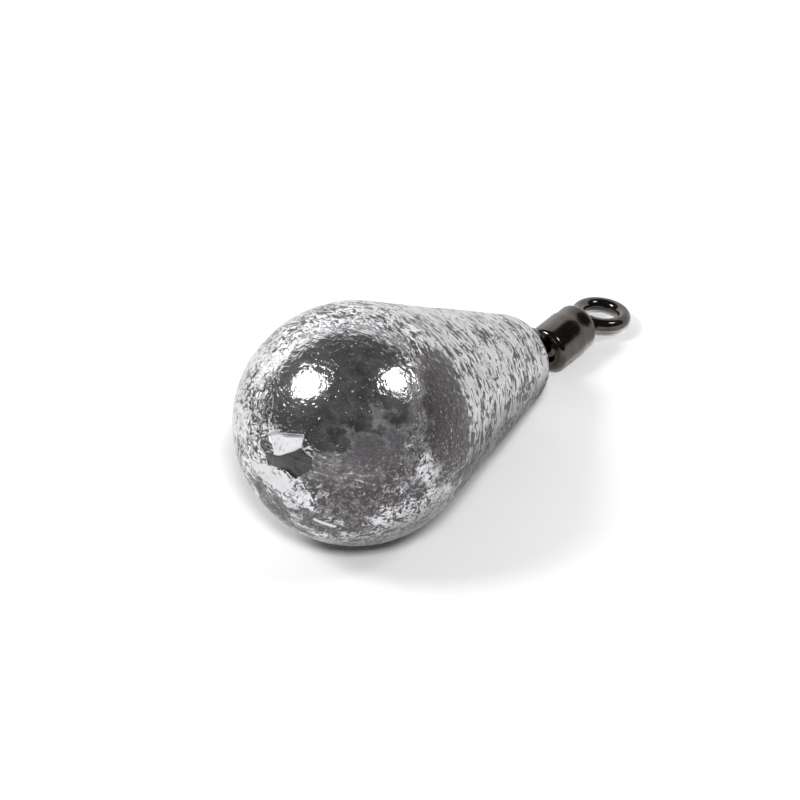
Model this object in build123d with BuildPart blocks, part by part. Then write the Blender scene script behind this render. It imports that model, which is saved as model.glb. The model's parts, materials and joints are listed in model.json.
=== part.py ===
# Fishing sinker: a cast lead drop with a barrel swivel held in its nose.
# It lies on a table, with +Z up and +X from the heavy end to the line eye.
# The origin is on the table, under the middle of the whole sinker. Lengths are in millimetres.
import os
from math import asin, atan2, cos, hypot, radians, sin, sqrt, tan

from build123d import *

# Lead drop: a ball, a straight taper that touches the ball, and a rounded nose.
ball_diameter = 16.8
lead_length = 28.0
nose_radius_share = 0.375
nose_rounding_share = 0.73

# Stub left where the casting gate was nipped off, with two faces that meet in a ridge.
gate_diameter = 3.8
gate_height = 0.32
gate_root = 1.0
gate_upper_slope = 18.0
gate_lower_slope = 17.0

# Wire eyes of the swivel, each a ring, a shank and a ball head cut flat inside the barrel.
wire_diameter = 1.0
eye_diameter = 4.4
neck_length = 0.6
head_flat = 0.15

# Barrel of the swivel, with a plain end towards the lead and a swaged collar at the other.
barrel_diameter = 3.5
barrel_length = 4.45
collar_length = 1.6
collar_diameter_share = 0.955
end_wall = 0.42
barrel_rounding = 0.2
step_rounding = 0.05
collar_rounding = 0.5

# Fits: the space from the nose to the barrel, the play of each shank and head in the barrel,
# and how far the loose barrel leans up from the lead's axis and the line eye down from the barrel's.
nose_gap = 3.25
shank_clearance = 0.03
head_clearance = 0.04
swivel_lean = 16.6
eye_lean = 11.2

ball_radius = ball_diameter / 2
wire_radius = wire_diameter / 2
barrel_radius = barrel_diameter / 2
collar_radius = barrel_radius * collar_diameter_share
bore_radius = collar_radius - end_wall
head_radius = bore_radius - head_clearance
ring_radius = (eye_diameter - wire_diameter) / 2

# The taper runs straight from the ball to the rim of the nose, and touches the ball.
# The lead rests on the side of its taper, so its axis dips by the taper's angle.
nose_distance = lead_length - ball_radius
nose_radius = ball_radius * nose_radius_share
taper = asin(ball_radius / hypot(nose_distance, nose_radius)) - atan2(nose_radius, nose_distance)
lead_axis = Vector(cos(taper), 0, -sin(taper))

# Each head bears on the inner rim of its hole, so it sits this far inside the barrel's end.
# The hole is as wide as the shank needs to lean in it without touching its outer rim.
most_lean = radians(max(swivel_lean, eye_lean))
shank_edge = wire_radius + shank_clearance + end_wall * sin(most_lean)
rim_turn = most_lean + asin(shank_edge / bore_radius)
hole_radius = bore_radius * sin(rim_turn)
head_depth = end_wall + bore_radius * cos(rim_turn)
anchor_head_distance = nose_distance + nose_gap + head_depth
eye_centre_distance = head_depth + neck_length + eye_diameter / 2

# The barrel and the line eye lean in the upright plane: the barrel lies almost level, and the eye dips.
swivel_dip = taper - radians(swivel_lean)
swivel_axis = Vector(cos(swivel_dip), 0, -sin(swivel_dip))
eye_dip = swivel_dip + radians(eye_lean)
eye_axis = Vector(cos(eye_dip), 0, -sin(eye_dip))
eye_up = Vector(sin(eye_dip), 0, cos(eye_dip))

# The heavy end and the line eye are the same distance from the origin along X.
line_head_reach = barrel_length - head_depth * 2
back_reach = max(ball_radius, (ball_radius + gate_height) * cos(taper))
front_reach = (
    anchor_head_distance * cos(taper)
    + line_head_reach * cos(swivel_dip)
    + (eye_centre_distance + ring_radius) * cos(eye_dip)
    + wire_radius
)
ball_centre = Vector((back_reach - front_reach) / 2, 0, ball_radius)
anchor_head = ball_centre + lead_axis * anchor_head_distance
barrel_end = anchor_head - swivel_axis * head_depth
line_head = anchor_head + swivel_axis * line_head_reach

lead_plane = Plane(origin=ball_centre, x_dir=lead_axis, z_dir=(0, -1, 0))
barrel_plane = Plane(origin=barrel_end, x_dir=swivel_axis, z_dir=(0, -1, 0))


def wire_eye(head_centre, outward, ring_normal):
    """Return a swivel eye whose head is at head_centre and whose ring lies outward of it."""
    eye_plane = Plane(origin=head_centre, x_dir=outward, z_dir=outward.cross(ring_normal))
    eye_centre = head_centre + outward * eye_centre_distance
    flat_radius = sqrt(head_radius**2 - head_flat**2)
    shank_start = sqrt(head_radius**2 - wire_radius**2)
    shank_end = eye_centre_distance - ring_radius
    with BuildPart() as eye:
        with BuildSketch(eye_plane) as stem_profile:
            with BuildLine() as stem_line:
                Line((shank_end, 0), (-head_flat, 0))
                Line((-head_flat, 0), (-head_flat, flat_radius))
                ThreePointArc((-head_flat, flat_radius), (0, head_radius), (shank_start, wire_radius))
                Line((shank_start, wire_radius), (shank_end, wire_radius))
                Line((shank_end, wire_radius), (shank_end, 0))
            make_face()
        revolve(axis=Axis(head_centre, outward))
        with BuildSketch(eye_plane) as ring_profile:
            with Locations((eye_centre_distance + ring_radius, 0)):
                Circle(wire_radius)
        revolve(axis=Axis(eye_centre, ring_normal))
    return eye.part


# Anchor eye: its ring stands upright, half sunk in the nose.
with BuildPart() as anchor_eye:
    add(wire_eye(anchor_head, -lead_axis, Vector(0, 1, 0)))
anchor_eye.part.label = "anchor_eye"

# Line eye: its ring lies flat, ready for the line.
with BuildPart() as line_eye:
    add(wire_eye(line_head, eye_axis, eye_up))
line_eye.part.label = "line_eye"

# Gate stub: a round stub whose outer end is nipped to a ridge across the sinker.
gate_radius = gate_diameter / 2
ridge_distance = ball_radius + gate_height
upper_eave = ridge_distance - gate_radius * tan(radians(gate_upper_slope))
lower_eave = ridge_distance - gate_radius * tan(radians(gate_lower_slope))
root_distance = ball_radius - gate_root
with BuildPart() as gate_stub:
    with BuildSketch(lead_plane) as gate_side:
        with BuildLine() as gate_line:
            Polyline(
                (-root_distance, gate_radius),
                (-upper_eave, gate_radius),
                (-ridge_distance, 0),
                (-lower_eave, -gate_radius),
                (-root_distance, -gate_radius),
                close=True,
            )
        make_face()
    extrude(amount=gate_radius, both=True)
    with BuildSketch(Plane(origin=ball_centre, z_dir=-lead_axis)) as gate_round:
        Circle(gate_radius)
    extrude(amount=ridge_distance, mode=Mode.INTERSECT)

# Lead drop, cast around the anchor eye.
with BuildPart() as lead_weight:
    with BuildSketch(lead_plane) as lead_profile:
        with BuildLine() as lead_line:
            taper_start = (ball_radius * sin(taper), ball_radius * cos(taper))
            ThreePointArc((-ball_radius, 0), (0, ball_radius), taper_start)
            Line(taper_start, (nose_distance, nose_radius))
            Line((nose_distance, nose_radius), (nose_distance, 0))
            Line((nose_distance, 0), (-ball_radius, 0))
        make_face()
        nose_corner = lead_profile.vertices().sort_by_distance((nose_distance, nose_radius, 0))[0]
        fillet(nose_corner, radius=nose_radius * nose_rounding_share)
    revolve(axis=Axis(ball_centre, lead_axis))
    add(gate_stub.part)
    add(anchor_eye.part, mode=Mode.SUBTRACT)
lead_weight.part.label = "lead_weight"

# Barrel: a hollow turned on the swivel axis, open at both ends for the shanks.
collar_start = barrel_length - collar_length
with BuildPart() as swivel_barrel:
    with BuildSketch(barrel_plane) as barrel_profile:
        with BuildLine() as barrel_line:
            Polyline(
                (0, hole_radius),
                (0, barrel_radius),
                (collar_start, barrel_radius),
                (collar_start, collar_radius),
                (barrel_length, collar_radius),
                (barrel_length, hole_radius),
                (barrel_length - end_wall, hole_radius),
                (barrel_length - end_wall, bore_radius),
                (end_wall, bore_radius),
                (end_wall, hole_radius),
                close=True,
            )
        make_face()
        plain_corner = barrel_profile.vertices().sort_by_distance((0, barrel_radius, 0))[0]
        fillet(plain_corner, radius=barrel_rounding)
        collar_corner = barrel_profile.vertices().sort_by_distance((barrel_length, collar_radius, 0))[0]
        fillet(collar_corner, radius=collar_rounding)
        step_corner = barrel_profile.vertices().sort_by_distance((collar_start, barrel_radius, 0))[0]
        fillet(step_corner, radius=step_rounding)
    revolve(axis=Axis(barrel_end, swivel_axis))
swivel_barrel.part.label = "swivel_barrel"

os.makedirs("parts", exist_ok=True)
export_step(lead_weight.part, "parts/lead_weight.step")
export_step(anchor_eye.part, "parts/anchor_eye.step")
export_step(swivel_barrel.part, "parts/swivel_barrel.step")
export_step(line_eye.part, "parts/line_eye.step")
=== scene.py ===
"""Looks of a cast lead fishing sinker with a barrel swivel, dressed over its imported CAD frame."""
import json
import math

import bpy
import numpy as np
from mathutils import Matrix, Vector, noise


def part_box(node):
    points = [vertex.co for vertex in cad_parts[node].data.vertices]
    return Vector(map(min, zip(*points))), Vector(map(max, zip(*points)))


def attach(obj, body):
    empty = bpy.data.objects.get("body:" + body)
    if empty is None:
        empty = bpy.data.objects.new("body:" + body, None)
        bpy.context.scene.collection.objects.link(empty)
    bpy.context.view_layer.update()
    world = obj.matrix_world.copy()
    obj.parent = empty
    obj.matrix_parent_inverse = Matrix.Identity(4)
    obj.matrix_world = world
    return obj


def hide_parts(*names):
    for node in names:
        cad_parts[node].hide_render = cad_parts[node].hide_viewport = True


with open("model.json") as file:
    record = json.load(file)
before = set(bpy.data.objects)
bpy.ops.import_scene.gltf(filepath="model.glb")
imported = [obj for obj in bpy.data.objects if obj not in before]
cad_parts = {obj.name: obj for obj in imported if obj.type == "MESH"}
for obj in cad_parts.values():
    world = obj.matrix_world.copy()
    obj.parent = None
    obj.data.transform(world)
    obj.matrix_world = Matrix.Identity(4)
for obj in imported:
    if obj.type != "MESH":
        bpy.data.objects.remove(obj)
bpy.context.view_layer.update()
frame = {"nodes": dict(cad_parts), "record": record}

MM = 0.001
UP = Vector((0, 0, 1))
ACROSS = Vector((0, 1, 0))
BESIDE = -ACROSS

# How the photograph sees the sinker: the ball's middle and radius in its pixels, and the viewing
# angle. CAMERA_REACH is how far the camera sees, in metres.
IMAGE_WIDTH = 800
VIEW_AZIMUTH = math.radians(52.0)
VIEW_ELEVATION = math.radians(36.9)
BALL_PIXEL = (355.3, 423.3)
BALL_PIXEL_RADIUS = 123.6
CAMERA_BALL_RADII = 30.0
CAMERA_REACH = 10
SENSOR_WIDTH = 36.0

# Lead drop: its nose as shares of its ball, and how finely its skin is meshed, in millimetres.
NOSE_RADIUS_SHARE = 0.375
NOSE_ROUNDING_SHARE = 0.73
SKIN_STEP = 0.13
SCAR_STEP = 0.055
SKIN_SEGMENTS = 316

# Relief of the cast skin, in millimetres. The skin is let in by SKIN_INSET so no lump stands proud.
# Layers are how fast they fade, how much finer each one is than the last, and how many there are.
# Ripples sway from side to side, and stretch round the lead over the start of the taper.
SKIN_INSET = 0.05
LUMP_SIZE, LUMP_HEIGHT, LUMP_LAYERS = 4.5, 0.045, (1.0, 2.0, 3)
RIPPLE_SIZE, RIPPLE_HEIGHT, RIPPLE_LAYERS = 0.95, 0.012, (0.9, 2.1, 3)
SWAY, SWAY_SIZE, SWAY_SHIFT = 0.5, 2.6, 7
GRAIN_SIZE, GRAIN_HEIGHT = 0.4, 0.004
STROKE_STRETCH, STRETCH_LENGTH = 2.8, 5.0

# Parting seam, in millimetres: its ridge, the step across it and how it wanders. Its flash comes
# and goes as a share of the ridge's height.
SEAM_WIDTH, SEAM_HEIGHT, SEAM_STEP = 0.1, 0.05, 0.016
WANDER, WANDER_SIZE, WANDER_SHIFT = 0.06, 2.2, 5
FLASH_LEAST, FLASH_MEAN, FLASH_CHANGE, FLASH_SIZE = 0.2, 0.55, 0.9, 1.7

# Fine lines beside the seam, in millimetres, which sway and come in patches.
STRIA_PITCH, STRIA_REACH, STRIA_HEIGHT = 0.42, 1.3, 0.007
STRIA_SWAY, STRIA_SWAY_SIZE = 2, 2.5
STRIA_COVER, STRIA_PATCH_SIZE = 0.3, 3.1

# Scar where the casting gate was nipped off, in millimetres over the back of the ball:
# first across it, to the left as seen from behind, then up.
SCAR_REACH = 3.4
NIPPED_OUTLINE = [
    (-1.44, 0.78), (-0.67, 1.5), (-0.44, 1.31), (1.44, 1.88), (1.49, 1.07),
    (1.03, 0.6), (0.22, 0.02), (-0.32, -0.12), (-0.71, 0.35), (-1.08, 0.42),
]
TORN_OUTLINE = [
    (-0.32, -0.12), (0.22, 0.02), (1.03, 0.6), (1.49, 1.07), (1.9, 0.75), (2.36, 0.6), (2.5, -0.1),
    (1.43, -1.3), (0.9, -1.05), (0.72, -0.94), (0.11, -1.03), (-0.87, -1.15), (-1.2, -0.5),
]
LEDGE_OUTLINE = [
    (-2.83, -1.68), (-1.63, -1.55), (-1.12, -1.23), (-0.25, -1.23), (0.5, -1.07), (1.1, -1.46),
    (1.3, -2.0), (0.9, -2.5), (0.4, -2.9), (-0.32, -2.7), (-1.43, -2.6), (-2.35, -2.3),
]
TORN_DEPTH = 0.12
LEDGE_PROUD, LEDGE_DEPTH = 0.05, 0.12

# Burrs round the scar, in millimetres. Ones fainter than BURR_LEAST of full height are left out.
BURR_SIZE, BURR_HEIGHT, BURR_REACH, BURR_LEAST = 0.25, 0.045, 0.6, 0.02

# Faces of the scar: the height at a point, that point, and the slopes as rise over run.
NIPPED_FACE = (0.2, -0.05, -0.1, 0.11, -0.543)
TORN_LEFT_FACE = (0.19, -0.5, -0.2, 0.28, 0.37)
TORN_RIGHT_FACE = (0.2, 0.17, -0.11, -0.29, 0.37)
TORN_UPPER_FACE = (0.165, 0.22, 0.02, -0.4, 0.074)
LEDGE_FACE = (-0.267, -0.45, -1.75, 0.054, 0.208)

# Swivel: how finely its wire and barrel are meshed, and the collar, wall and edge roundings in
# millimetres. Shares place rings of vertices on the head's flat, the barrel's end and its sides.
WIRE_SIDES = 40
RING_STEPS = 160
HEAD_STEPS, SHANK_STEPS = 24, 16
HEAD_FLAT_SHARES = (0.0005, 0.5, 0.9)
TURN_SEGMENTS = 128
WIRE_END_GAP, RING_INSET = 0.06, 0.0005
COLLAR_SHARE, COLLAR_LENGTH, BARREL_WALL = 0.955, 1.6, 0.42
LIP_ROUNDING, NEAR_ROUNDING, STEP_ROUNDING, FAR_ROUNDING = 0.09, 0.42, 0.05, 0.5
LIP_STEPS, END_STEPS, STEP_STEPS, ROOT_STEPS = 6, 12, 6, 5
BARREL_END_SHARES, BARREL_SIDE_SHARES, COLLAR_SIDE_SHARE = (0.62, 0.75), (0.2, 0.4, 0.6, 0.8), 0.4

# Looks of the lead's skin, in its own axes (along it, up, beside) and in millimetres. Noises are a
# scale, detail, roughness and distortion, and a range is what a value is spread from and to.
SWIRL_SCALE, SWIRL_DETAIL, SWIRL_REACH = 0.45, 2.0, 1.1
RAGGED_NOISE = (0.7, 5.0, 0.65)
NOISE_MIDDLE = 0.5

# Frosting starts where the taper does, with a ragged edge, and strokes turn round the lead there.
FROST_RAGGED, FROST_BEFORE, FROST_AFTER = 5.0, 0.45, 0.05
DRAWN_STROKES, CROSSED_STROKES = (0.78, 0.37, 0.37), (1.05, 0.8, 0.7)
STROKE_TURN = (-3.0, 2.0)

# Wrinkles and pits: noises whose scale is a share of the strokes' density.
COARSE_NOISE, COARSE_RANGE = (0.8, 3.0, 0.55, 0.4), (0.38, 0.62)
FINE_NOISE, FINE_HEIGHT = (2.5, 2.0, 0.5), 0.25
PIT_NOISE, PIT_RANGE, PIT_HEIGHT = (1.3, 2.0, 0.5, 0.6), (0.65, 0.75), 0.22

# A spot fades out between these shares of its reach.
SPOT_OUTER, SPOT_INNER = 1.25, 0.7

# The side of the ball that the mould left smooth, how far it reaches in degrees, how ragged its
# edge is, and how much of the wrinkles stays there.
SMOOTH_SIDE, SMOOTH_REACH, SMOOTH_RAGGED = (-0.736, 0.597, 0.32), 38, 0.2
SMOOTH_WRINKLES = 0.25

# Flecks: how dense they are in patches, how far dense ones reach round the smooth side, how much
# denser they are there and by the taper's start, and how much denser by its end. Specks are as dense
# as the strokes, so SPECK_NOISE starts at its detail.
PATCH_NOISE, PATCH_RANGE = (0.35, 3.0, 0.6), (0.35, 0.65, 0.66, 1.1)
FLECKED_REACH, FLECKED_GAIN, FLECKED_RAGGED = 48, 0.24, 0.3
FLECKED_LENGTH, FLECKED_END_GAIN = 7.0, 0.2
SPECK_NOISE, SPECK_RANGE = (3.0, 0.62, 1.0), (-0.01, 0.06)
SPECK_LIMIT, SPECK_LIMIT_FALL = 0.7, -0.5

# The side of the ball with few flecks, how far it reaches, and how much sparser they are there and
# on the far side of the taper.
BARE_SIDE, BARE_REACH, BARE_LOSS, BARE_RAGGED = (-0.74, 0.34, -0.57), 28, 0.3, 0.3
FAR_SIDE_RANGE = (0.35, 0.05)

# Dull dark patches of the ball, partly tarnish and partly painted shade and painted dark reflection:
# the side they are on, how far they reach in degrees, how ragged their edge is, and how dark they
# are.
TARNISH_AND_SHADE_SPOTS = [
    ((-0.775, -0.248, 0.581), 21, 0.5, 0.85),
    ((-0.64, 0.08, 0.77), 22, 0.4, 0.85),
    ((0.14, 0.41, 0.9), 31, 0.3, 1.0),
    ((-0.79, -0.61, -0.05), 17, 0.4, 0.9),
    ((-0.76, -0.52, 0.37), 12, 0.3, 0.85),
    ((0.315, -0.867, 0.393), 50, 0.2, 0.9),
    ((0.383, -0.671, 0.643), 33, 0.3, 0.45),
    ((-0.285, 0.202, 0.937), 12, 0.4, 0.8),
]

# How dark and dull the underside of the taper is, as painted shade of the table beneath, and how
# much of the tarnish and painted shade stays where it is worn off in specks and in lines beside the
# seam.
UNDERSIDE_RANGE, UNDERSIDE_PAINTED_SHADE = (0.4, -0.15), 0.85
WORN_RANGE, WORN_TARNISH_AND_SHADE = (0.58, 0.68), 0.5
LINE_RANGE, LINE_PATCH_RANGE, LINE_CORE = (0.4, 1.0), (0.46, 0.6), 0.2

# A nick low on the ball painted white as a glint, from one side of it to another, its half width in
# millimetres, and the shares of that between which it fades out.
NICK_START, NICK_END, NICK_WIDTH = (-0.799, -0.515, 0.312), (-0.714, -0.541, 0.444), 0.15
NICK_OUTER, NICK_INNER = 1.4, 0.8
NICK_GLINT_COLOUR = (0.92, 0.9, 0.92, 1)

# Smudges: how dark they are, and how much less metallic the lead is between them and under tarnish
# and painted shade.
SMUDGE_NOISE, SMUDGE_RANGE, SMUDGE_SHARE = (0.9, 5.0, 0.65), (0.36, 0.68), 0.3
HAZE_SHARE, TARNISH_AND_SHADE_DULLING = 0.05, -0.6

# How much rougher frosting, tarnish with its painted shade, smudges and flecks make the lead.
FROST_ROUGH, TARNISH_AND_SHADE_ROUGH, SMUDGE_ROUGH, FLECK_ROUGH = 0.2, 0.12, 0.1, 0.12

# Dark plating: its uneven tone, its rub marks drawn out along the swivel, and its dust pits. The
# marks' density scales them all: TONE_NOISE starts at its detail, the others at a share of it.
TONE_NOISE, TONE_RANGE = (3.0, 0.6), (0.35, 0.68)
RUB_STROKES, RUB_NOISE, RUB_RANGE = (0.4, 4.0, 4.0), (2.0, 3.0, 0.65), (0.45, 0.75)
RUB_HEIGHT, RUB_ROUGH = 0.4, 0.1
DUST_NOISE = (5.0, 2.0, 0.5)

# Table: its size in metres, how white it is to light and as shown to the camera, and how much it
# glows in polished metal.
TABLE_SIZE = 4.0
TABLE_WHITE = 0.68
TABLE_SHOWN = 1.0
TABLE_GLOW = 0.2

# Room: white walls, dark in front of the sinker, and brighter at a window up on the left.
ROOM_WHITE, ROOM_DARK = 1.0, 0.055
DARK_SIDE_TURN, DARK_SIDE_RANGE = -0.1, (-0.11, -0.03)
WINDOW_UP, WINDOW_LEFT, WINDOW_BEHIND = 0.6, 0.75, 0.28
WINDOW_RANGE, WINDOW_GAIN = (0.35, 0.95), 1.5

# Lamps: the side they are on in the photograph (right, up, towards the camera), how many degrees
# wide they look from the ball, and how bright they are.
SOFTBOX_DISTANCE = 0.6
FRONT_FILL = ((0.05, 0.2, 0.979), 10, 70.0)
LEFT_SOFTBOX = ((-0.65, 0.55, 0.52), 16, 16.0)
RIGHT_SOFTBOX = ((0.607, 0.574, 0.549), 13, 11.0)

# ---------------------------------------------------------------- places taken from the frame

joints = {joint["name"]: joint for joint in frame["record"]["behaviour"]["joints"]}
anchor_head = Vector(joints["barrel_spin"]["pos_m"])
line_head = Vector(joints["eye_spin"]["pos_m"])
swivel_axis = Vector(joints["barrel_spin"]["axis"]).normalized()
swivel_up = swivel_axis.cross(ACROSS)
eye_axis = Vector(joints["eye_spin"]["axis"]).normalized()
eye_up = eye_axis.cross(ACROSS)


def node_points(node):
    """Vertices of a CAD node at rest, as an array."""
    mesh = frame["nodes"][node].data
    points = np.empty(len(mesh.vertices) * 3)
    mesh.vertices.foreach_get("co", points)
    place = np.array(frame["nodes"][node].matrix_world)
    return points.reshape(-1, 3) @ place[:3, :3].T + place[:3, 3]


def along(node, origin, direction):
    """Distance of each of a node's vertices from origin along direction."""
    return (node_points(node) - np.array(origin)) @ np.array(direction)


# The lead lies on its taper with its ball on the table, so the ball's middle is one radius up.
lead_low, lead_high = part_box("lead_weight")
ball_radius = (lead_high.y - lead_low.y) / 2
ball_centre = Vector((lead_low.x + ball_radius, 0, ball_radius))
lead_axis = (anchor_head - ball_centre).normalized()
lead_up = lead_axis.cross(ACROSS)
taper = math.asin(-lead_axis.z)
nose_distance = along("lead_weight", ball_centre, lead_axis).max()

barrel_along = along("swivel_barrel", anchor_head, swivel_axis)
barrel_start, barrel_length = barrel_along.min(), barrel_along.max() - barrel_along.min()
barrel_across = along("swivel_barrel", anchor_head, ACROSS)
barrel_over = along("swivel_barrel", anchor_head, swivel_up)
barrel_radius = barrel_across.max()
hole_radius = np.hypot(barrel_across, barrel_over).min()

eye_along = along("line_eye", line_head, eye_axis)
eye_over = along("line_eye", line_head, eye_up)
eye_radius = along("line_eye", line_head, ACROSS).max()
wire_radius = eye_over[eye_along > eye_along.max() - eye_radius].max()
head_radius = eye_over[eye_along < 0].max()
head_flat = -eye_along.min()
ring_radius = eye_radius - wire_radius
eye_distance = eye_along.max() - eye_radius

# ---------------------------------------------------------------- meshes


def new_piece(name, points, faces, materials, face_slots=None):
    """A smooth mesh piece of the sinker."""
    mesh = bpy.data.meshes.new(name)
    mesh.from_pydata([tuple(point) for point in points], [], faces)
    for material in materials:
        mesh.materials.append(material)
    if face_slots is not None:
        mesh.polygons.foreach_set("material_index", face_slots)
    mesh.shade_smooth()
    mesh.validate()
    piece = bpy.data.objects.new(name, mesh)
    bpy.context.scene.collection.objects.link(piece)
    return piece


def ring_faces(rings, segments, start=0, closed=False):
    """Quads between successive rings of vertices, the last ring joined to the first if closed."""
    faces = []
    for ring in range(rings if closed else rings - 1):
        here = start + ring * segments
        there = start + (ring + 1) % rings * segments
        for k in range(segments):
            after = (k + 1) % segments
            faces.append((here + k, here + after, there + after, there + k))
    return faces


def turned(profile, origin, axis, segments, closed):
    """Points and faces of a turned shape, from (distance along axis, radius) pairs in metres.

    The faces look outward where the profile runs along the axis on the outside.
    """
    side = axis.orthogonal().normalized()
    other = axis.cross(side)
    points = []
    for distance, radius in profile:
        for k in range(segments):
            angle = 2 * math.pi * k / segments
            spoke = side * math.cos(angle) + other * math.sin(angle)
            points.append(origin + axis * distance + spoke * radius)
    return points, ring_faces(len(profile), segments, 0, closed)


def arc(centre, radius, start, end, steps):
    """Points of an arc in a turned profile, angles in degrees from the axis."""
    angles = np.radians(np.linspace(start, end, steps))
    return [(centre[0] + radius * math.cos(a), centre[1] + radius * math.sin(a)) for a in angles]


def inside(outline, a, b):
    """Whether each point (a, b) lies in the outline."""
    found = np.zeros(a.shape, bool)
    for (a0, b0), (a1, b1) in zip(outline, outline[1:] + outline[:1]):
        crosses = (b0 > b) != (b1 > b)
        if b0 != b1:
            found ^= crosses & (a < (a1 - a0) * (b - b0) / (b1 - b0) + a0)
    return found


def outline_distance(outline, a, b):
    """Distance of each point (a, b) from the nearest side of the outline."""
    nearest = np.full(a.shape, np.inf)
    for (a0, b0), (a1, b1) in zip(outline, outline[1:] + outline[:1]):
        run_a, run_b = a1 - a0, b1 - b0
        share = ((a - a0) * run_a + (b - b0) * run_b) / (run_a**2 + run_b**2)
        share = np.clip(share, 0, 1)
        nearest = np.minimum(nearest, np.hypot(a - a0 - share * run_a, b - b0 - share * run_b))
    return nearest


def scar_face(face, a, b):
    """Height of a flat face of the scar over the back of the ball."""
    height, a0, b0, slope_a, slope_b = face
    return height + slope_a * (a - a0) + slope_b * (b - b0)


def lead_profile():
    """Distance along the lead, radius and outward direction of each skin ring, in millimetres."""
    radius, nose = ball_radius / MM, nose_distance / MM
    rounding = radius * NOSE_RADIUS_SHARE * NOSE_ROUNDING_SHARE
    scar_turn = math.asin(SCAR_REACH / radius)
    ball_turn = math.pi / 2 + taper
    ball_steps = round(radius * (ball_turn - scar_turn) / SKIN_STEP)
    scar = np.linspace(0, scar_turn, round(SCAR_REACH / SCAR_STEP))[1:]
    ball = np.linspace(scar_turn, ball_turn, ball_steps)[1:]
    turn = np.concatenate([scar, ball])
    rings = [(-radius * np.cos(turn), radius * np.sin(turn), -np.cos(turn), np.sin(turn))]

    centre = nose - rounding
    centre_radius = (radius - rounding - centre * math.sin(taper)) / math.cos(taper)
    cone_start = (radius * math.sin(taper), radius * math.cos(taper))
    cone_end = (centre + rounding * math.sin(taper), centre_radius + rounding * math.cos(taper))
    share = np.linspace(0, 1, round(math.dist(cone_start, cone_end) / SKIN_STEP))[1:]
    flat = np.ones_like(share)
    rings.append((
        cone_start[0] + (cone_end[0] - cone_start[0]) * share,
        cone_start[1] + (cone_end[1] - cone_start[1]) * share,
        flat * math.sin(taper),
        flat * math.cos(taper),
    ))

    turn = np.linspace(taper, math.pi / 2, round(rounding * (math.pi / 2 - taper) / SKIN_STEP))[1:]
    rings.append((
        centre + rounding * np.sin(turn),
        centre_radius + rounding * np.cos(turn),
        np.sin(turn),
        np.cos(turn),
    ))
    inward = np.linspace(centre_radius, 0, round(centre_radius / SKIN_STEP))[1:-1]
    level = np.ones_like(inward)
    rings.append((nose * level, inward, level, 0 * level))
    return [np.concatenate(column) for column in zip(*rings)]


def burr_relief(points):
    """How far crumpled burrs stand out round the scar at each point, in millimetres."""
    a, b = points[:, 2], points[:, 1]
    outlines = (NIPPED_OUTLINE, TORN_OUTLINE)
    apart = np.minimum(*(outline_distance(outline, a, b) for outline in outlines))
    strength = np.where(points[:, 0] < 0, np.exp(-((apart / BURR_REACH) ** 2)), 0)
    relief = np.zeros(len(points))
    for k in np.flatnonzero(strength > BURR_LEAST):
        relief[k] = BURR_HEIGHT * strength[k] * noise.noise(Vector(points[k]) / BURR_SIZE)
    return relief


def ripple_at(t, u, y):
    """Depth of the ripples at a place, drawn out round the lead towards the taper."""
    place = Vector((t, u, y))
    sway_t = noise.noise(place / SWAY_SIZE)
    sway_u = noise.noise(place / SWAY_SIZE + UP * SWAY_SHIFT)
    sway = Vector((sway_t, sway_u, 0)) * SWAY
    stretch = 1 + (STROKE_STRETCH - 1) * min(max(t / STRETCH_LENGTH, 0), 1)
    swayed = Vector((t + sway.x, (u + sway.y) / stretch, y / stretch))
    return noise.fractal(swayed / RIPPLE_SIZE, *RIPPLE_LAYERS)


def seam_at(t, u, y):
    """Height of the parting seam's ridge and step at a place, in millimetres."""
    flash = noise.noise(Vector((t / FLASH_SIZE, 0, y / FLASH_SIZE)))
    flash = max(FLASH_LEAST, FLASH_MEAN + FLASH_CHANGE * flash)
    wander = noise.noise(Vector((t / WANDER_SIZE, WANDER_SHIFT, y / WANDER_SIZE)))
    off = (u - WANDER * wander) / SEAM_WIDTH
    return SEAM_HEIGHT * flash * math.exp(-(off**2)) + SEAM_STEP * math.tanh(off)


def stria_at(t, u, y):
    """Depth of the fine lines beside the seam at a place."""
    place = Vector((t, u, y))
    sway = STRIA_SWAY * noise.noise(place / STRIA_SWAY_SIZE)
    stria = math.sin(2 * math.pi * u / STRIA_PITCH + sway)
    cover = max(0, STRIA_COVER + noise.noise(place / STRIA_PATCH_SIZE))
    return stria * (math.exp(-((u / STRIA_REACH) ** 2)) * cover)


def skin_relief(points):
    """How far the cast skin stands out at each point, in millimetres, less the inset."""
    relief = np.empty(len(points))
    for k, (t, u, y) in enumerate(points):
        place = Vector((t, u, y))
        relief[k] = (
            LUMP_HEIGHT * noise.fractal(place / LUMP_SIZE, *LUMP_LAYERS)
            + RIPPLE_HEIGHT * ripple_at(t, u, y)
            + GRAIN_HEIGHT * noise.noise(place / GRAIN_SIZE)
            + seam_at(t, u, y)
            + STRIA_HEIGHT * stria_at(t, u, y)
        )
    return np.minimum(relief + burr_relief(points), SKIN_INSET) - SKIN_INSET


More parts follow.
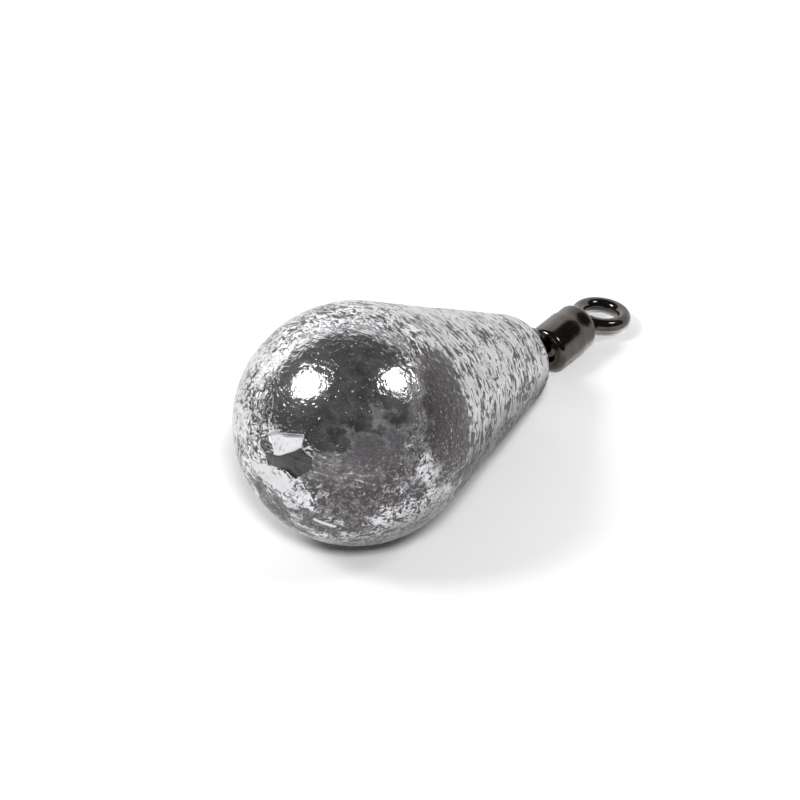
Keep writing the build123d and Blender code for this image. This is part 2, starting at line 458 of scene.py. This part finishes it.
def lead_casting(materials):
    """The lead drop with its cast skin, parting seam and nipped gate scar."""
    radius = ball_radius / MM
    t, r, out_t, out_r = (np.repeat(column, SKIN_SEGMENTS) for column in lead_profile())
    rings = len(t) // SKIN_SEGMENTS
    angle = np.tile(np.arange(SKIN_SEGMENTS) * 2 * math.pi / SKIN_SEGMENTS, rings)
    spoke_u, spoke_y = np.cos(angle), np.sin(angle)
    place = np.stack([t, r * spoke_u, r * spoke_y], axis=1)
    outward = np.stack([out_t, out_r * spoke_u, out_r * spoke_y], axis=1)
    ends = np.array([[-radius, 0, 0], [nose_distance / MM, 0, 0]])
    place = np.concatenate([place, ends])
    outward = np.concatenate([outward, [[-1, 0, 0], [1, 0, 0]]])
    place = place + outward * skin_relief(place)[:, None]

    a, b = place[:, 2], place[:, 1]
    behind = place[:, 0] < 0
    back = -place[:, 0] - radius
    nipped = scar_face(NIPPED_FACE, a, b)
    torn_faces = (TORN_LEFT_FACE, TORN_RIGHT_FACE, TORN_UPPER_FACE)
    torn = np.min([scar_face(face, a, b) for face in torn_faces], axis=0)
    in_nipped = behind & inside(NIPPED_OUTLINE, a, b)
    in_torn = behind & inside(TORN_OUTLINE, a, b) & ~in_nipped
    in_ledge = behind & inside(LEDGE_OUTLINE, a, b) & ~in_torn
    ridge = np.minimum(torn, nipped)
    ledge = np.clip(scar_face(LEDGE_FACE, a, b), back - LEDGE_DEPTH, back + LEDGE_PROUD)
    scarred = np.where(in_ledge, ledge, back)
    scarred = np.where(in_torn, np.maximum(ridge, back - TORN_DEPTH), scarred)
    scarred = np.where(in_nipped, ridge, scarred)
    place[:, 0] = np.where(in_nipped | in_torn | in_ledge, -radius - scarred, place[:, 0])
    region = np.zeros(len(place), int)
    region[in_ledge | in_nipped] = 1
    region[in_torn] = 2

    turn = np.array([lead_axis, lead_up, BESIDE])
    points = np.array(ball_centre) + place @ turn * MM
    faces = ring_faces(rings, SKIN_SEGMENTS)
    back_end, front_end, last = len(points) - 2, len(points) - 1, (rings - 1) * SKIN_SEGMENTS
    for k in range(SKIN_SEGMENTS):
        after = (k + 1) % SKIN_SEGMENTS
        faces.append((back_end, after, k))
        faces.append((last + k, last + after, front_end))
    slots = [int(region[face[0]]) for face in faces]
    return new_piece("lead_casting", points, faces, materials, slots)


def swivel_wire(name, head, outward, ring_normal, material):
    """A swivel eye bent from wire: a headed shank, and a ring whose end comes back beside it."""
    sideways = ring_normal.cross(outward)
    neck = math.sqrt(head_radius**2 - wire_radius**2)
    flat_turn = math.degrees(math.acos(-head_flat / head_radius))
    neck_turn = math.degrees(math.atan2(wire_radius, neck))
    shank = np.linspace(neck, eye_distance - ring_radius, SHANK_STEPS)[1:]
    profile = [(-head_flat, head_radius * share) for share in HEAD_FLAT_SHARES]
    profile += arc((0, 0), head_radius, flat_turn, neck_turn, HEAD_STEPS)
    profile += [(distance, wire_radius) for distance in shank]
    points, faces = turned(profile, head, outward, WIRE_SIDES, False)
    faces.append(tuple(range(WIRE_SIDES))[::-1])
    last = len(points) - WIRE_SIDES
    faces.append(tuple(range(last, last + WIRE_SIDES)))

    centre = head + outward * eye_distance
    thickness = wire_radius - RING_INSET * MM
    gap = math.asin((wire_radius + WIRE_END_GAP * MM) / ring_radius)
    start = len(points)
    for angle in np.linspace(math.pi, 3 * math.pi - gap, RING_STEPS):
        spoke = outward * math.cos(angle) + sideways * math.sin(angle)
        for k in range(WIRE_SIDES):
            turn = 2 * math.pi * k / WIRE_SIDES
            reach = spoke * (ring_radius + thickness * math.cos(turn))
            points.append(centre + reach + ring_normal * thickness * math.sin(turn))
    faces += [face[::-1] for face in ring_faces(RING_STEPS, WIRE_SIDES, start)]
    faces.append(tuple(range(start, start + WIRE_SIDES)))
    last = len(points) - WIRE_SIDES
    faces.append(tuple(range(last, last + WIRE_SIDES))[::-1])
    return new_piece(name, points, faces, [material])


def barrel_shell(material):
    """The barrel: a turned shell, rounded at the lead's end and with a collar at the other."""
    length, radius, hole = barrel_length, barrel_radius, hole_radius
    collar_radius, collar_length = radius * COLLAR_SHARE, COLLAR_LENGTH * MM
    collar_start = length - collar_length
    wall = BARREL_WALL * MM
    bore = collar_radius - wall
    roundings = (LIP_ROUNDING, NEAR_ROUNDING, STEP_ROUNDING, FAR_ROUNDING)
    lip, near, step, far = (size * MM for size in roundings)
    root = step / 2
    profile = arc((lip, hole + lip), lip, 270, 180, LIP_STEPS)
    profile += [(0, radius * share) for share in BARREL_END_SHARES]
    profile += arc((near, radius - near), near, 180, 90, END_STEPS)
    profile += [(share * collar_start, radius) for share in BARREL_SIDE_SHARES]
    profile += arc((collar_start - step, radius - step), step, 90, 0, STEP_STEPS)
    profile += arc((collar_start + root, collar_radius + root), root, 180, 270, ROOT_STEPS)
    profile += [(collar_start + collar_length * COLLAR_SIDE_SHARE, collar_radius)]
    profile += arc((length - far, collar_radius - far), far, 90, 0, END_STEPS)
    profile += arc((length - lip, hole + lip), lip, 0, -90, LIP_STEPS)
    profile += [(length - wall, hole), (length - wall, bore), (wall, bore), (wall, hole)]
    origin = anchor_head + swivel_axis * barrel_start
    points, faces = turned(profile, origin, swivel_axis, TURN_SEGMENTS, True)
    return new_piece("barrel_shell", points, faces, [material])


# ---------------------------------------------------------------- shader nodes


def put(tree, kind, links=None, **settings):
    """Add a node, set its settings, and fill its inputs with values or other nodes' outputs."""
    made = tree.nodes.new(kind)
    for setting, value in settings.items():
        setattr(made, setting, value)
    for socket, value in (links or {}).items():
        if isinstance(value, bpy.types.NodeSocket):
            tree.links.new(value, made.inputs[socket])
        else:
            made.inputs[socket].default_value = value
    return made


def math_of(tree, operation, *values):
    """Result of arithmetic on values."""
    return put(tree, "ShaderNodeMath", dict(enumerate(values)), operation=operation).outputs[0]


def vector_of(tree, operation, *vectors):
    """Vector result of arithmetic on vectors."""
    links = dict(enumerate(vectors))
    return put(tree, "ShaderNodeVectorMath", links, operation=operation).outputs[0]


def measure_of(tree, operation, first, second):
    """Value that a dot product or a distance of two vectors gives."""
    links = {0: first, 1: second}
    return put(tree, "ShaderNodeVectorMath", links, operation=operation).outputs["Value"]


def scaled(tree, vector, factor):
    """A vector made factor times as long."""
    links = {0: vector, "Scale": factor}
    return put(tree, "ShaderNodeVectorMath", links, operation="SCALE").outputs[0]


def noise_of(tree, vector, scale, detail=2.0, roughness=0.5, distortion=0.0):
    """Value of a noise at a vector."""
    links = {"Vector": vector, "Scale": scale, "Detail": detail}
    links |= {"Roughness": roughness, "Distortion": distortion}
    return put(tree, "ShaderNodeTexNoise", links).outputs["Fac"]


def dense_noise(tree, vector, density, share, *shape):
    """Value of a noise whose scale is share times density."""
    return noise_of(tree, vector, math_of(tree, "MULTIPLY", density, share), *shape)


def ramp(tree, value, low, high, to_low=0.0, to_high=1.0):
    """Smooth change from to_low to to_high as value goes from low to high."""
    links = {"Value": value, "From Min": low, "From Max": high}
    links |= {"To Min": to_low, "To Max": to_high}
    made = put(tree, "ShaderNodeMapRange", links, interpolation_type="SMOOTHSTEP")
    return made.outputs["Result"]


def blend_colour(tree, share, first, second):
    """A colour that goes from first to second as share goes from 0 to 1."""
    made = put(tree, "ShaderNodeMix", {0: share, 6: first, 7: second}, data_type="RGBA")
    return made.outputs[2]


def new_group(name, inputs, outputs):
    """A shader node group with named float inputs and outputs, and the sockets of its two ends."""
    group = bpy.data.node_groups.new(name, "ShaderNodeTree")
    kind = "NodeSocketFloat"
    for label, default in inputs.items():
        socket = group.interface.new_socket(name=label, in_out="INPUT", socket_type=kind)
        socket.default_value = default
    for label in outputs:
        group.interface.new_socket(name=label, in_out="OUTPUT", socket_type=kind)
    given = group.nodes.new("NodeGroupInput").outputs
    return group, given, group.nodes.new("NodeGroupOutput").inputs


# ---------------------------------------------------------------- materials


def cast_skin_group():
    """Wrinkles, dark flecks, dull tarnish with painted shade, frosting, smudges and a nick painted
    as a white glint, in the lead's own axes.
    """
    group, given, result = new_group(
        "cast_skin",
        {"Stroke Size": 0.3, "Fleck Share": 0.3},
        ("Height", "Flecks", "Tarnish And Shade", "Frost", "Smudge", "Nick Glint"),
    )
    place = put(group, "ShaderNodeTexCoord").outputs["Object"]
    turn = Matrix((lead_axis, lead_up, BESIDE))
    shift = -(turn @ ball_centre) / MM
    mapping = {"Location": shift, "Rotation": turn.to_euler(), "Scale": (1 / MM,) * 3}
    mapped = put(group, "ShaderNodeMapping", {"Vector": place, **mapping}, vector_type="POINT")
    mapped = mapped.outputs["Vector"]
    swirl = {"Vector": mapped, "Scale": SWIRL_SCALE, "Detail": SWIRL_DETAIL}
    swirl = put(group, "ShaderNodeTexNoise", swirl).outputs["Color"]
    swirl = vector_of(group, "SUBTRACT", swirl, (NOISE_MIDDLE,) * 3)
    swayed = vector_of(group, "ADD", mapped, scaled(group, swirl, SWIRL_REACH))
    ragged = noise_of(group, swayed, *RAGGED_NOISE)
    axial, over, beside = put(group, "ShaderNodeSeparateXYZ", {0: swayed}).outputs
    outward = vector_of(group, "NORMALIZE", swayed)
    density = math_of(group, "DIVIDE", 1.0, given["Stroke Size"])

    def roughened(value, raggedness):
        """A value made ragged."""
        off_middle = math_of(group, "SUBTRACT", ragged, NOISE_MIDDLE)
        return math_of(group, "MULTIPLY_ADD", off_middle, raggedness, value)

    def spot(side, reach, raggedness):
        """1 on a side of the ball and 0 beyond reach degrees of it, with a ragged edge."""
        near = measure_of(group, "DOT_PRODUCT", outward, Vector(side).normalized())
        outer, inner = (math.cos(math.radians(reach * s)) for s in (SPOT_OUTER, SPOT_INNER))
        return ramp(group, roughened(near, raggedness), outer, inner)

    taper_start = ball_radius / MM * math.sin(taper)
    taper_edge = roughened(axial, FROST_RAGGED)
    frost_range = (taper_start - FROST_BEFORE, taper_start + FROST_AFTER)
    on_taper = ramp(group, taper_edge, *frost_range)
    drawn = vector_of(group, "MULTIPLY", swayed, DRAWN_STROKES)
    crossed = vector_of(group, "MULTIPLY", swayed, CROSSED_STROKES)
    strokes = {0: ramp(group, axial, *STROKE_TURN), 4: crossed, 5: drawn}
    strokes = put(group, "ShaderNodeMix", strokes, data_type="VECTOR").outputs[1]

    # Wrinkles and pits, calmer on the smooth side.
    calm = spot(SMOOTH_SIDE, SMOOTH_REACH, SMOOTH_RAGGED)
    calm = math_of(group, "MULTIPLY", calm, SMOOTH_WRINKLES - 1.0)
    coarse = dense_noise(group, strokes, density, *COARSE_NOISE)
    fine = dense_noise(group, strokes, density, *FINE_NOISE)
    pits = ramp(group, dense_noise(group, swayed, density, *PIT_NOISE), *PIT_RANGE)
    wrinkles = ramp(group, coarse, *COARSE_RANGE)
    wrinkles = math_of(group, "MULTIPLY_ADD", fine, FINE_HEIGHT, wrinkles)
    wrinkles = math_of(group, "MULTIPLY_ADD", wrinkles, calm, wrinkles)
    height = math_of(group, "MULTIPLY_ADD", pits, PIT_HEIGHT, wrinkles)
    group.links.new(height, result["Height"])

    # Flecks, in patches.
    round_axis = put(group, "ShaderNodeCombineXYZ", {1: over, 2: beside}).outputs[0]
    round_axis = vector_of(group, "NORMALIZE", round_axis)
    side_up, side_beside = put(group, "ShaderNodeSeparateXYZ", {0: round_axis}).outputs[1:]
    patches = ramp(group, noise_of(group, mapped, *PATCH_NOISE), *PATCH_RANGE)
    flecked = spot(SMOOTH_SIDE, FLECKED_REACH, FLECKED_RAGGED)
    patches = math_of(group, "MULTIPLY_ADD", flecked, FLECKED_GAIN, patches)
    bare = spot(BARE_SIDE, BARE_REACH, BARE_RAGGED)
    patches = math_of(group, "MULTIPLY_ADD", bare, -BARE_LOSS, patches)
    flecked_range = (taper_start, taper_start + FLECKED_LENGTH, FLECKED_GAIN, FLECKED_END_GAIN)
    patches = math_of(group, "ADD", patches, ramp(group, axial, *flecked_range))
    far_side = ramp(group, side_beside, *FAR_SIDE_RANGE, 0.0, -BARE_LOSS)
    patches = math_of(group, "MULTIPLY_ADD", far_side, on_taper, patches)
    limit = math_of(group, "MULTIPLY", given["Fleck Share"], patches)
    limit = math_of(group, "MULTIPLY_ADD", limit, SPECK_LIMIT_FALL, SPECK_LIMIT)
    specks = noise_of(group, strokes, density, *SPECK_NOISE)
    flecks = ramp(group, math_of(group, "SUBTRACT", specks, limit), *SPECK_RANGE)
    group.links.new(math_of(group, "MULTIPLY_ADD", flecks, calm, flecks), result["Flecks"])

    # Tarnish and painted shade in spots on the ball, and painted shade under the taper, worn off in
    # specks and lines.
    tarnish_and_shade = 0.0
    for side, reach, raggedness, darkness in TARNISH_AND_SHADE_SPOTS:
        dull = math_of(group, "MULTIPLY", spot(side, reach, raggedness), darkness)
        tarnish_and_shade = math_of(group, "MAXIMUM", tarnish_and_shade, dull)
    tarnish_and_shade = math_of(group, "MULTIPLY", tarnish_and_shade, math_of(group, "SUBTRACT", 1.0, on_taper))
    # Painted shade: the underside of the taper is darkened like the shadowed table it faces.
    under = ramp(group, side_up, *UNDERSIDE_RANGE, 0.0, UNDERSIDE_PAINTED_SHADE)
    tarnish_and_shade = math_of(group, "MAXIMUM", tarnish_and_shade, math_of(group, "MULTIPLY", under, on_taper))
    worn = ramp(group, fine, *WORN_RANGE, 1.0, WORN_TARNISH_AND_SHADE)
    lines = math_of(group, "SINE", math_of(group, "MULTIPLY", over, 2 * math.pi / STRIA_PITCH))
    lines = ramp(group, lines, *LINE_RANGE)
    lines = math_of(group, "MULTIPLY", lines, ramp(group, ragged, *LINE_PATCH_RANGE))
    from_seam = math_of(group, "ABSOLUTE", over)
    near_seam = ramp(group, from_seam, STRIA_REACH, LINE_CORE, 0.0, WORN_TARNISH_AND_SHADE - 1.0)
    worn = math_of(group, "MULTIPLY", worn, math_of(group, "MULTIPLY_ADD", lines, near_seam, 1.0))
    group.links.new(math_of(group, "MULTIPLY", tarnish_and_shade, worn), result["Tarnish And Shade"])

    group.links.new(on_taper, result["Frost"])
    smudge = ramp(group, noise_of(group, swayed, *SMUDGE_NOISE), *SMUDGE_RANGE)
    group.links.new(smudge, result["Smudge"])

    # Nick, painted as a white glint: how near a place is to the line along it.
    nick_start, nick_end = (Vector(side) * ball_radius / MM for side in (NICK_START, NICK_END))
    run = nick_end - nick_start
    from_start = vector_of(group, "SUBTRACT", mapped, nick_start)
    share = measure_of(group, "DOT_PRODUCT", from_start, run / run.length_squared)
    share = put(group, "ShaderNodeClamp", {"Value": share}).outputs[0]
    apart = measure_of(group, "DISTANCE", from_start, scaled(group, run, share))
    nick_glint = ramp(group, apart, NICK_WIDTH * NICK_OUTER, NICK_WIDTH * NICK_INNER)
    group.links.new(nick_glint, result["Nick Glint"])
    return group


def plating_group():
    """Uneven tone, faint rub marks and fine dust pits of dark plating."""
    group, given, result = new_group(
        "dark_plating", {"Mark Size": 0.5}, ("Tone", "Rub", "Height")
    )
    place = put(group, "ShaderNodeTexCoord").outputs["Object"]
    sized = scaled(group, place, 1 / MM)
    density = math_of(group, "DIVIDE", 1.0, given["Mark Size"])
    tone = ramp(group, noise_of(group, sized, density, *TONE_NOISE), *TONE_RANGE)
    group.links.new(tone, result["Tone"])
    drawn = vector_of(group, "MULTIPLY", sized, RUB_STROKES)
    rub = dense_noise(group, drawn, density, *RUB_NOISE)
    group.links.new(ramp(group, rub, *RUB_RANGE), result["Rub"])
    dust = dense_noise(group, sized, density, *DUST_NOISE)
    group.links.new(math_of(group, "MULTIPLY_ADD", rub, RUB_HEIGHT, dust), result["Height"])
    return group


def new_material(name):
    """A material with a metal surface, its node tree and its shader."""
    material = bpy.data.materials.new(name)
    material.use_nodes = True
    tree = material.node_tree
    surface = tree.nodes["Principled BSDF"]
    surface.inputs["Metallic"].default_value = 1.0
    return material, tree, surface


def place_group(tree, group, **values):
    """Outputs of a group put in a tree, with its inputs set to values."""
    made = tree.nodes.new("ShaderNodeGroup")
    made.node_tree = group
    for label, value in values.items():
        made.inputs[label.replace("_", " ")].default_value = value
    return made.outputs


def bump(tree, surface, height, depth):
    """Raise a surface's bump from a height, depth in millimetres."""
    made = put(tree, "ShaderNodeBump", {"Height": height, "Distance": depth * MM, "Strength": 1.0})
    tree.links.new(made.outputs["Normal"], surface.inputs["Normal"])


def lead_material(
    name, group, *, bright, frosted, dark, tarnished_and_shaded, size, flecks, depth, roughness, bareness=1.0
):
    """Lead: bright skin, frosted on the taper, with dark flecks, patches of dull tarnish and painted
    shade, and a nick painted as a white glint.

    bareness is how metallic it is where nothing dulls it.
    """
    material, tree, surface = new_material(name)
    skin = place_group(tree, group, Stroke_Size=size, Fleck_Share=flecks)
    colour = blend_colour(tree, skin["Frost"], bright, frosted)
    smudged = math_of(tree, "MULTIPLY", skin["Smudge"], SMUDGE_SHARE)
    colour = blend_colour(tree, smudged, colour, dark)
    colour = blend_colour(tree, skin["Flecks"], colour, dark)
    # The tarnished patches are partly painted shade and painted dark reflection.
    colour = blend_colour(tree, skin["Tarnish And Shade"], colour, tarnished_and_shaded)
    # The nick is a painted glint: painted white here and made non-metallic below.
    colour = blend_colour(tree, skin["Nick Glint"], colour, NICK_GLINT_COLOUR)
    tree.links.new(colour, surface.inputs["Base Color"])
    bare = math_of(tree, "MULTIPLY_ADD", skin["Smudge"], HAZE_SHARE, 1.0 - HAZE_SHARE)
    bare = math_of(tree, "MULTIPLY_ADD", skin["Tarnish And Shade"], TARNISH_AND_SHADE_DULLING, bare)
    beside_nick_glint = math_of(tree, "MULTIPLY_ADD", skin["Nick Glint"], -bareness, bareness)
    tree.links.new(math_of(tree, "MULTIPLY", bare, beside_nick_glint), surface.inputs["Metallic"])
    rough = math_of(tree, "MULTIPLY_ADD", skin["Frost"], FROST_ROUGH, roughness)
    rough = math_of(tree, "MULTIPLY_ADD", skin["Tarnish And Shade"], TARNISH_AND_SHADE_ROUGH, rough)
    rough = math_of(tree, "MULTIPLY_ADD", skin["Smudge"], SMUDGE_ROUGH, rough)
    rough = math_of(tree, "MULTIPLY_ADD", skin["Flecks"], FLECK_ROUGH, rough)
    tree.links.new(rough, surface.inputs["Roughness"])
    bump(tree, surface, skin["Height"], depth)
    return material


def plated_material(name, group, *, light, dark, size, roughness, depth):
    """Dark nickel plating, glossy and uneven in tone, duller where it is rubbed."""
    material, tree, surface = new_material(name)
    marks = place_group(tree, group, Mark_Size=size)
    tree.links.new(blend_colour(tree, marks["Tone"], dark, light), surface.inputs["Base Color"])
    rough = math_of(tree, "MULTIPLY_ADD", marks["Rub"], RUB_ROUGH, roughness)
    tree.links.new(rough, surface.inputs["Roughness"])
    bump(tree, surface, marks["Height"], depth)
    return material


cast_skin = cast_skin_group()
plating = plating_group()
cast_lead = lead_material(
    "cast_lead", cast_skin,
    bright=(0.88, 0.865, 0.89, 1), frosted=(0.77, 0.755, 0.775, 1),
    # tarnished: the dark colour of tarnish and of painted shade.
    dark=(0.1, 0.092, 0.1, 1), tarnished_and_shaded=(0.07, 0.063, 0.068, 1),
    size=0.3, flecks=0.37, depth=0.03, roughness=0.08,
)
nipped_lead = lead_material(
    "nipped_lead", cast_skin,
    bright=(0.84, 0.83, 0.85, 1), frosted=(0.84, 0.83, 0.85, 1),
    dark=(0.4, 0.39, 0.4, 1), tarnished_and_shaded=(0.74, 0.73, 0.74, 1),
    size=0.5, flecks=0.2, depth=0.003, roughness=0.26, bareness=0.55,
)
# The torn face's dark colour is partly painted shade, as the face looks down at the shadowed table.
shaded_torn_lead = lead_material(
    "shaded_torn_lead", cast_skin,
    bright=(0.13, 0.122, 0.127, 1), frosted=(0.13, 0.122, 0.127, 1),
    dark=(0.08, 0.075, 0.08, 1), tarnished_and_shaded=(0.1, 0.095, 0.1, 1),
    size=0.6, flecks=0.2, depth=0.004, roughness=0.4,
)
dark_wire = plated_material(
    "dark_plated_wire", plating,
    light=(0.13, 0.118, 0.112, 1), dark=(0.085, 0.077, 0.074, 1),
    size=0.7, roughness=0.12, depth=0.0008,
)
dark_barrel = plated_material(
    "dark_plated_barrel", plating,
    light=(0.125, 0.108, 0.098, 1), dark=(0.085, 0.074, 0.068, 1),
    size=0.9, roughness=0.12, depth=0.0008,
)

# ---------------------------------------------------------------- the sinker's pieces

casting = lead_casting([cast_lead, nipped_lead, shaded_torn_lead])
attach(casting, "lead")
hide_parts("lead_weight")

anchor_wire = swivel_wire("anchor_wire", anchor_head, -lead_axis, BESIDE, dark_wire)
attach(anchor_wire, "lead")
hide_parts("anchor_eye")

shell = barrel_shell(dark_barrel)
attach(shell, "barrel")
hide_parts("swivel_barrel")

line_wire = swivel_wire("line_wire", line_head, eye_axis, eye_up, dark_wire)
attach(line_wire, "eye")
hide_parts("line_eye")

# ---------------------------------------------------------------- camera

view_right = Vector((math.cos(VIEW_AZIMUTH), -math.sin(VIEW_AZIMUTH), 0))
view_away = Vector((math.sin(VIEW_AZIMUTH), math.cos(VIEW_AZIMUTH), 0))
view_up = view_away * math.sin(VIEW_ELEVATION) + UP * math.cos(VIEW_ELEVATION)
view_back = UP * math.sin(VIEW_ELEVATION) - view_away * math.cos(VIEW_ELEVATION)

focal_pixels = BALL_PIXEL_RADIUS * CAMERA_BALL_RADII
ball_right = (BALL_PIXEL[0] - IMAGE_WIDTH / 2) / focal_pixels
ball_up = (IMAGE_WIDTH / 2 - BALL_PIXEL[1]) / focal_pixels
ball_seen = Vector((ball_right, ball_up, -1)).normalized() * ball_radius * CAMERA_BALL_RADII
camera = bpy.data.objects.new("camera", bpy.data.cameras.new("camera"))
camera.data.lens = focal_pixels * SENSOR_WIDTH / IMAGE_WIDTH
camera.data.sensor_width = SENSOR_WIDTH
camera.data.clip_start, camera.data.clip_end = ball_radius, CAMERA_REACH
to_ball = view_right * ball_seen.x + view_up * ball_seen.y + view_back * ball_seen.z
camera.location = ball_centre - to_ball
camera.rotation_euler = Matrix((view_right, view_up, view_back)).transposed().to_euler()
bpy.context.scene.collection.objects.link(camera)
bpy.context.scene.camera = camera

# ---------------------------------------------------------------- table and light


def white_table():
    """A white table top that keeps the sinker's shadow and glows a little in polished metal."""
    half = TABLE_SIZE / 2
    corners = [(-half, -half, 0), (half, -half, 0), (half, half, 0), (-half, half, 0)]
    mesh = bpy.data.meshes.new("table")
    mesh.from_pydata(corners, [], [(0, 1, 2, 3)])
    material = bpy.data.materials.new("table_white")
    material.use_nodes = True
    tree = material.node_tree
    tree.nodes.clear()
    path = put(tree, "ShaderNodeLightPath").outputs
    shown = TABLE_SHOWN - TABLE_WHITE
    shade = math_of(tree, "MULTIPLY_ADD", path["Is Camera Ray"], shown, TABLE_WHITE)
    matt = put(tree, "ShaderNodeBsdfDiffuse", {"Color": shade})
    mirrored = math_of(tree, "MAXIMUM", path["Is Glossy Ray"], path["Is Transmission Ray"])
    strength = math_of(tree, "MULTIPLY", mirrored, TABLE_GLOW)
    glow = put(tree, "ShaderNodeEmission", {"Strength": strength})
    both = put(tree, "ShaderNodeAddShader", {0: matt.outputs[0], 1: glow.outputs[0]})
    put(tree, "ShaderNodeOutputMaterial", {"Surface": both.outputs[0]})
    mesh.materials.append(material)
    table = bpy.data.objects.new("table", mesh)
    bpy.context.scene.collection.objects.link(table)


def softbox(name, direction, spread, radiance):
    """A square lamp that faces the ball from a direction in the photograph. Returns its object."""
    right, up, back = direction
    toward = (view_right * right + view_up * up + view_back * back).normalized()
    lamp = bpy.data.lights.new(name, "AREA")
    lamp.shape = "SQUARE"
    lamp.size = 2 * SOFTBOX_DISTANCE * math.tan(math.radians(spread) / 2)
    lamp.energy = radiance * math.pi * lamp.size**2
    box = bpy.data.objects.new(name, lamp)
    box.location = ball_centre + toward * SOFTBOX_DISTANCE
    box.rotation_euler = toward.to_track_quat("Z", "Y").to_euler()
    bpy.context.scene.collection.objects.link(box)
    return box


def studio_room():
    """White walls behind and beside the sinker, a dark room before it, and white to the camera."""
    world = bpy.data.worlds.new("studio_room")
    world.use_nodes = True
    tree = world.node_tree
    tree.nodes.clear()
    direction = put(tree, "ShaderNodeTexCoord").outputs["Generated"]
    dark_side = view_back + view_right * DARK_SIDE_TURN
    front = measure_of(tree, "DOT_PRODUCT", direction, dark_side)
    wall = ramp(tree, front, *DARK_SIDE_RANGE, ROOM_WHITE, ROOM_DARK)
    window_side = view_up * WINDOW_UP - view_right * WINDOW_LEFT - view_back * WINDOW_BEHIND
    window = measure_of(tree, "DOT_PRODUCT", direction, window_side)
    gain = ramp(tree, window, *WINDOW_RANGE, 1.0, WINDOW_GAIN)
    wall = math_of(tree, "MULTIPLY", wall, gain)
    camera_ray = put(tree, "ShaderNodeLightPath").outputs["Is Camera Ray"]
    strength = math_of(tree, "MAXIMUM", wall, camera_ray)
    light = put(tree, "ShaderNodeBackground", {"Color": (1, 1, 1, 1), "Strength": strength})
    put(tree, "ShaderNodeOutputWorld", {"Surface": light.outputs[0]})
    bpy.context.scene.world = world


white_table()
front_fill = softbox("front_fill", *FRONT_FILL)
front_fill.visible_glossy = False
softbox("left_softbox", *LEFT_SOFTBOX)
softbox("right_softbox", *RIGHT_SOFTBOX)
studio_room()
bpy.context.scene.view_settings.view_transform = "Standard"
